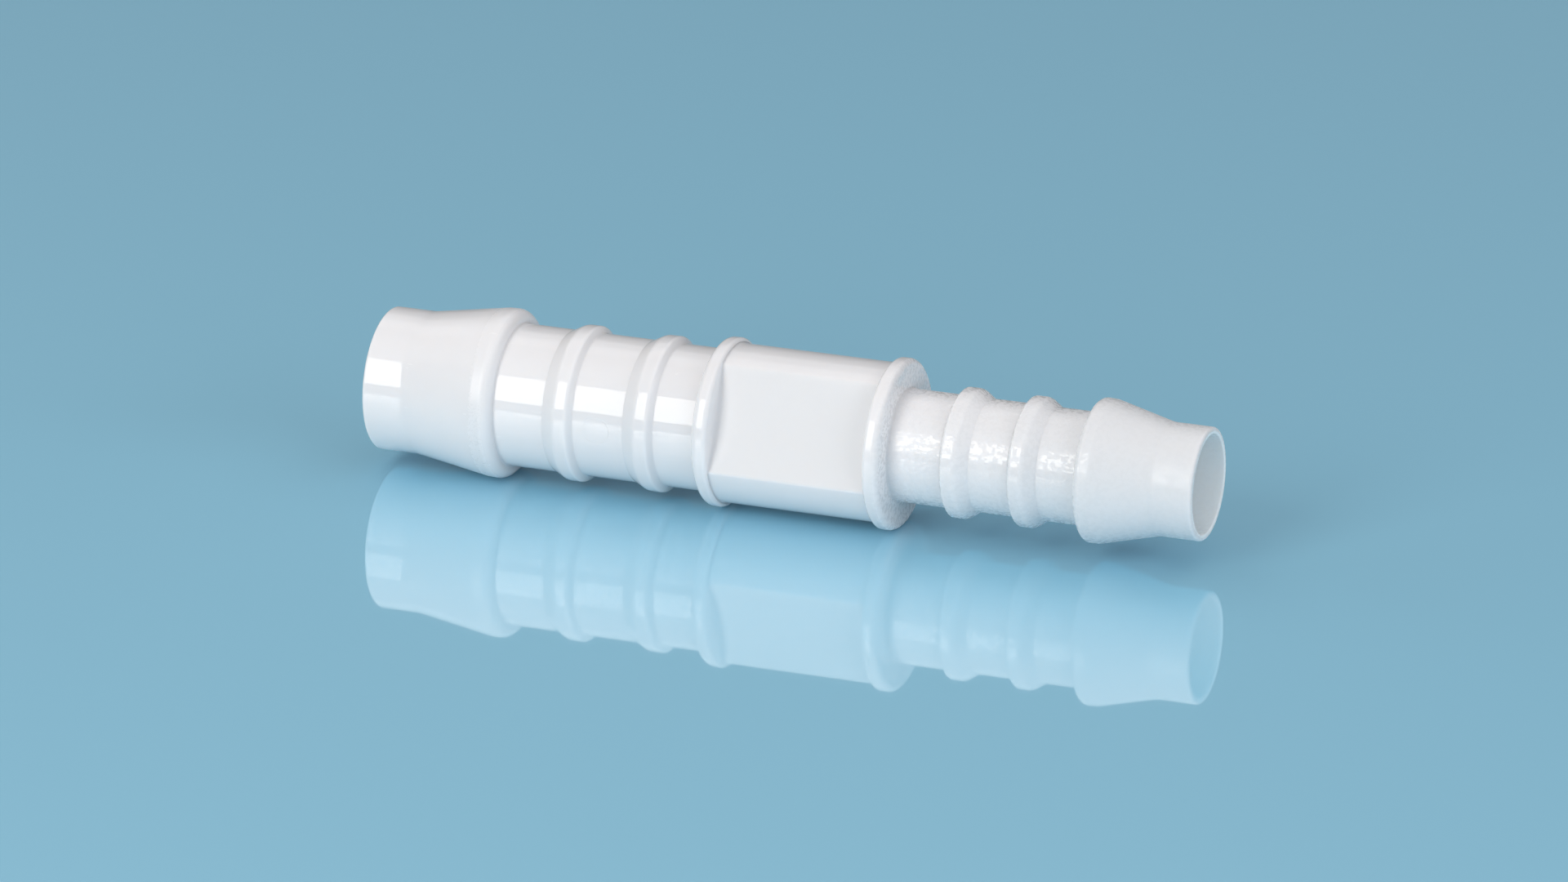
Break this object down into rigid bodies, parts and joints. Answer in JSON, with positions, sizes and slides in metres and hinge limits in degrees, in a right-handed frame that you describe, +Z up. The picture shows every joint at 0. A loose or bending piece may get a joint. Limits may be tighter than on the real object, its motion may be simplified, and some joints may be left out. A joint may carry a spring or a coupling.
{
  "type": "push fit coupling",
  "caption": "Straight reducing hose connector in milky plastic: ribbed, barbed tails of unlike bore either side of a flanged grip with spanner flats.",
  "frame": {"origin": "on the bore's axis, halfway between the two flanges of the grip", "axes": "+X along the axis towards the small end, +Z up; the spanner flats are rolled 22.9 degrees about X from facing -Y, as the object lies in the picture"},
  "size_m": [0.0768, 0.0152, 0.0152],
  "materials": {
    "body": "natural milky translucent moulding, glossy on the large tail and finely textured on the small tail"
  },
  "bodies": {
    "root": {"connector_body": "body"}
  },
  "joints": []
}
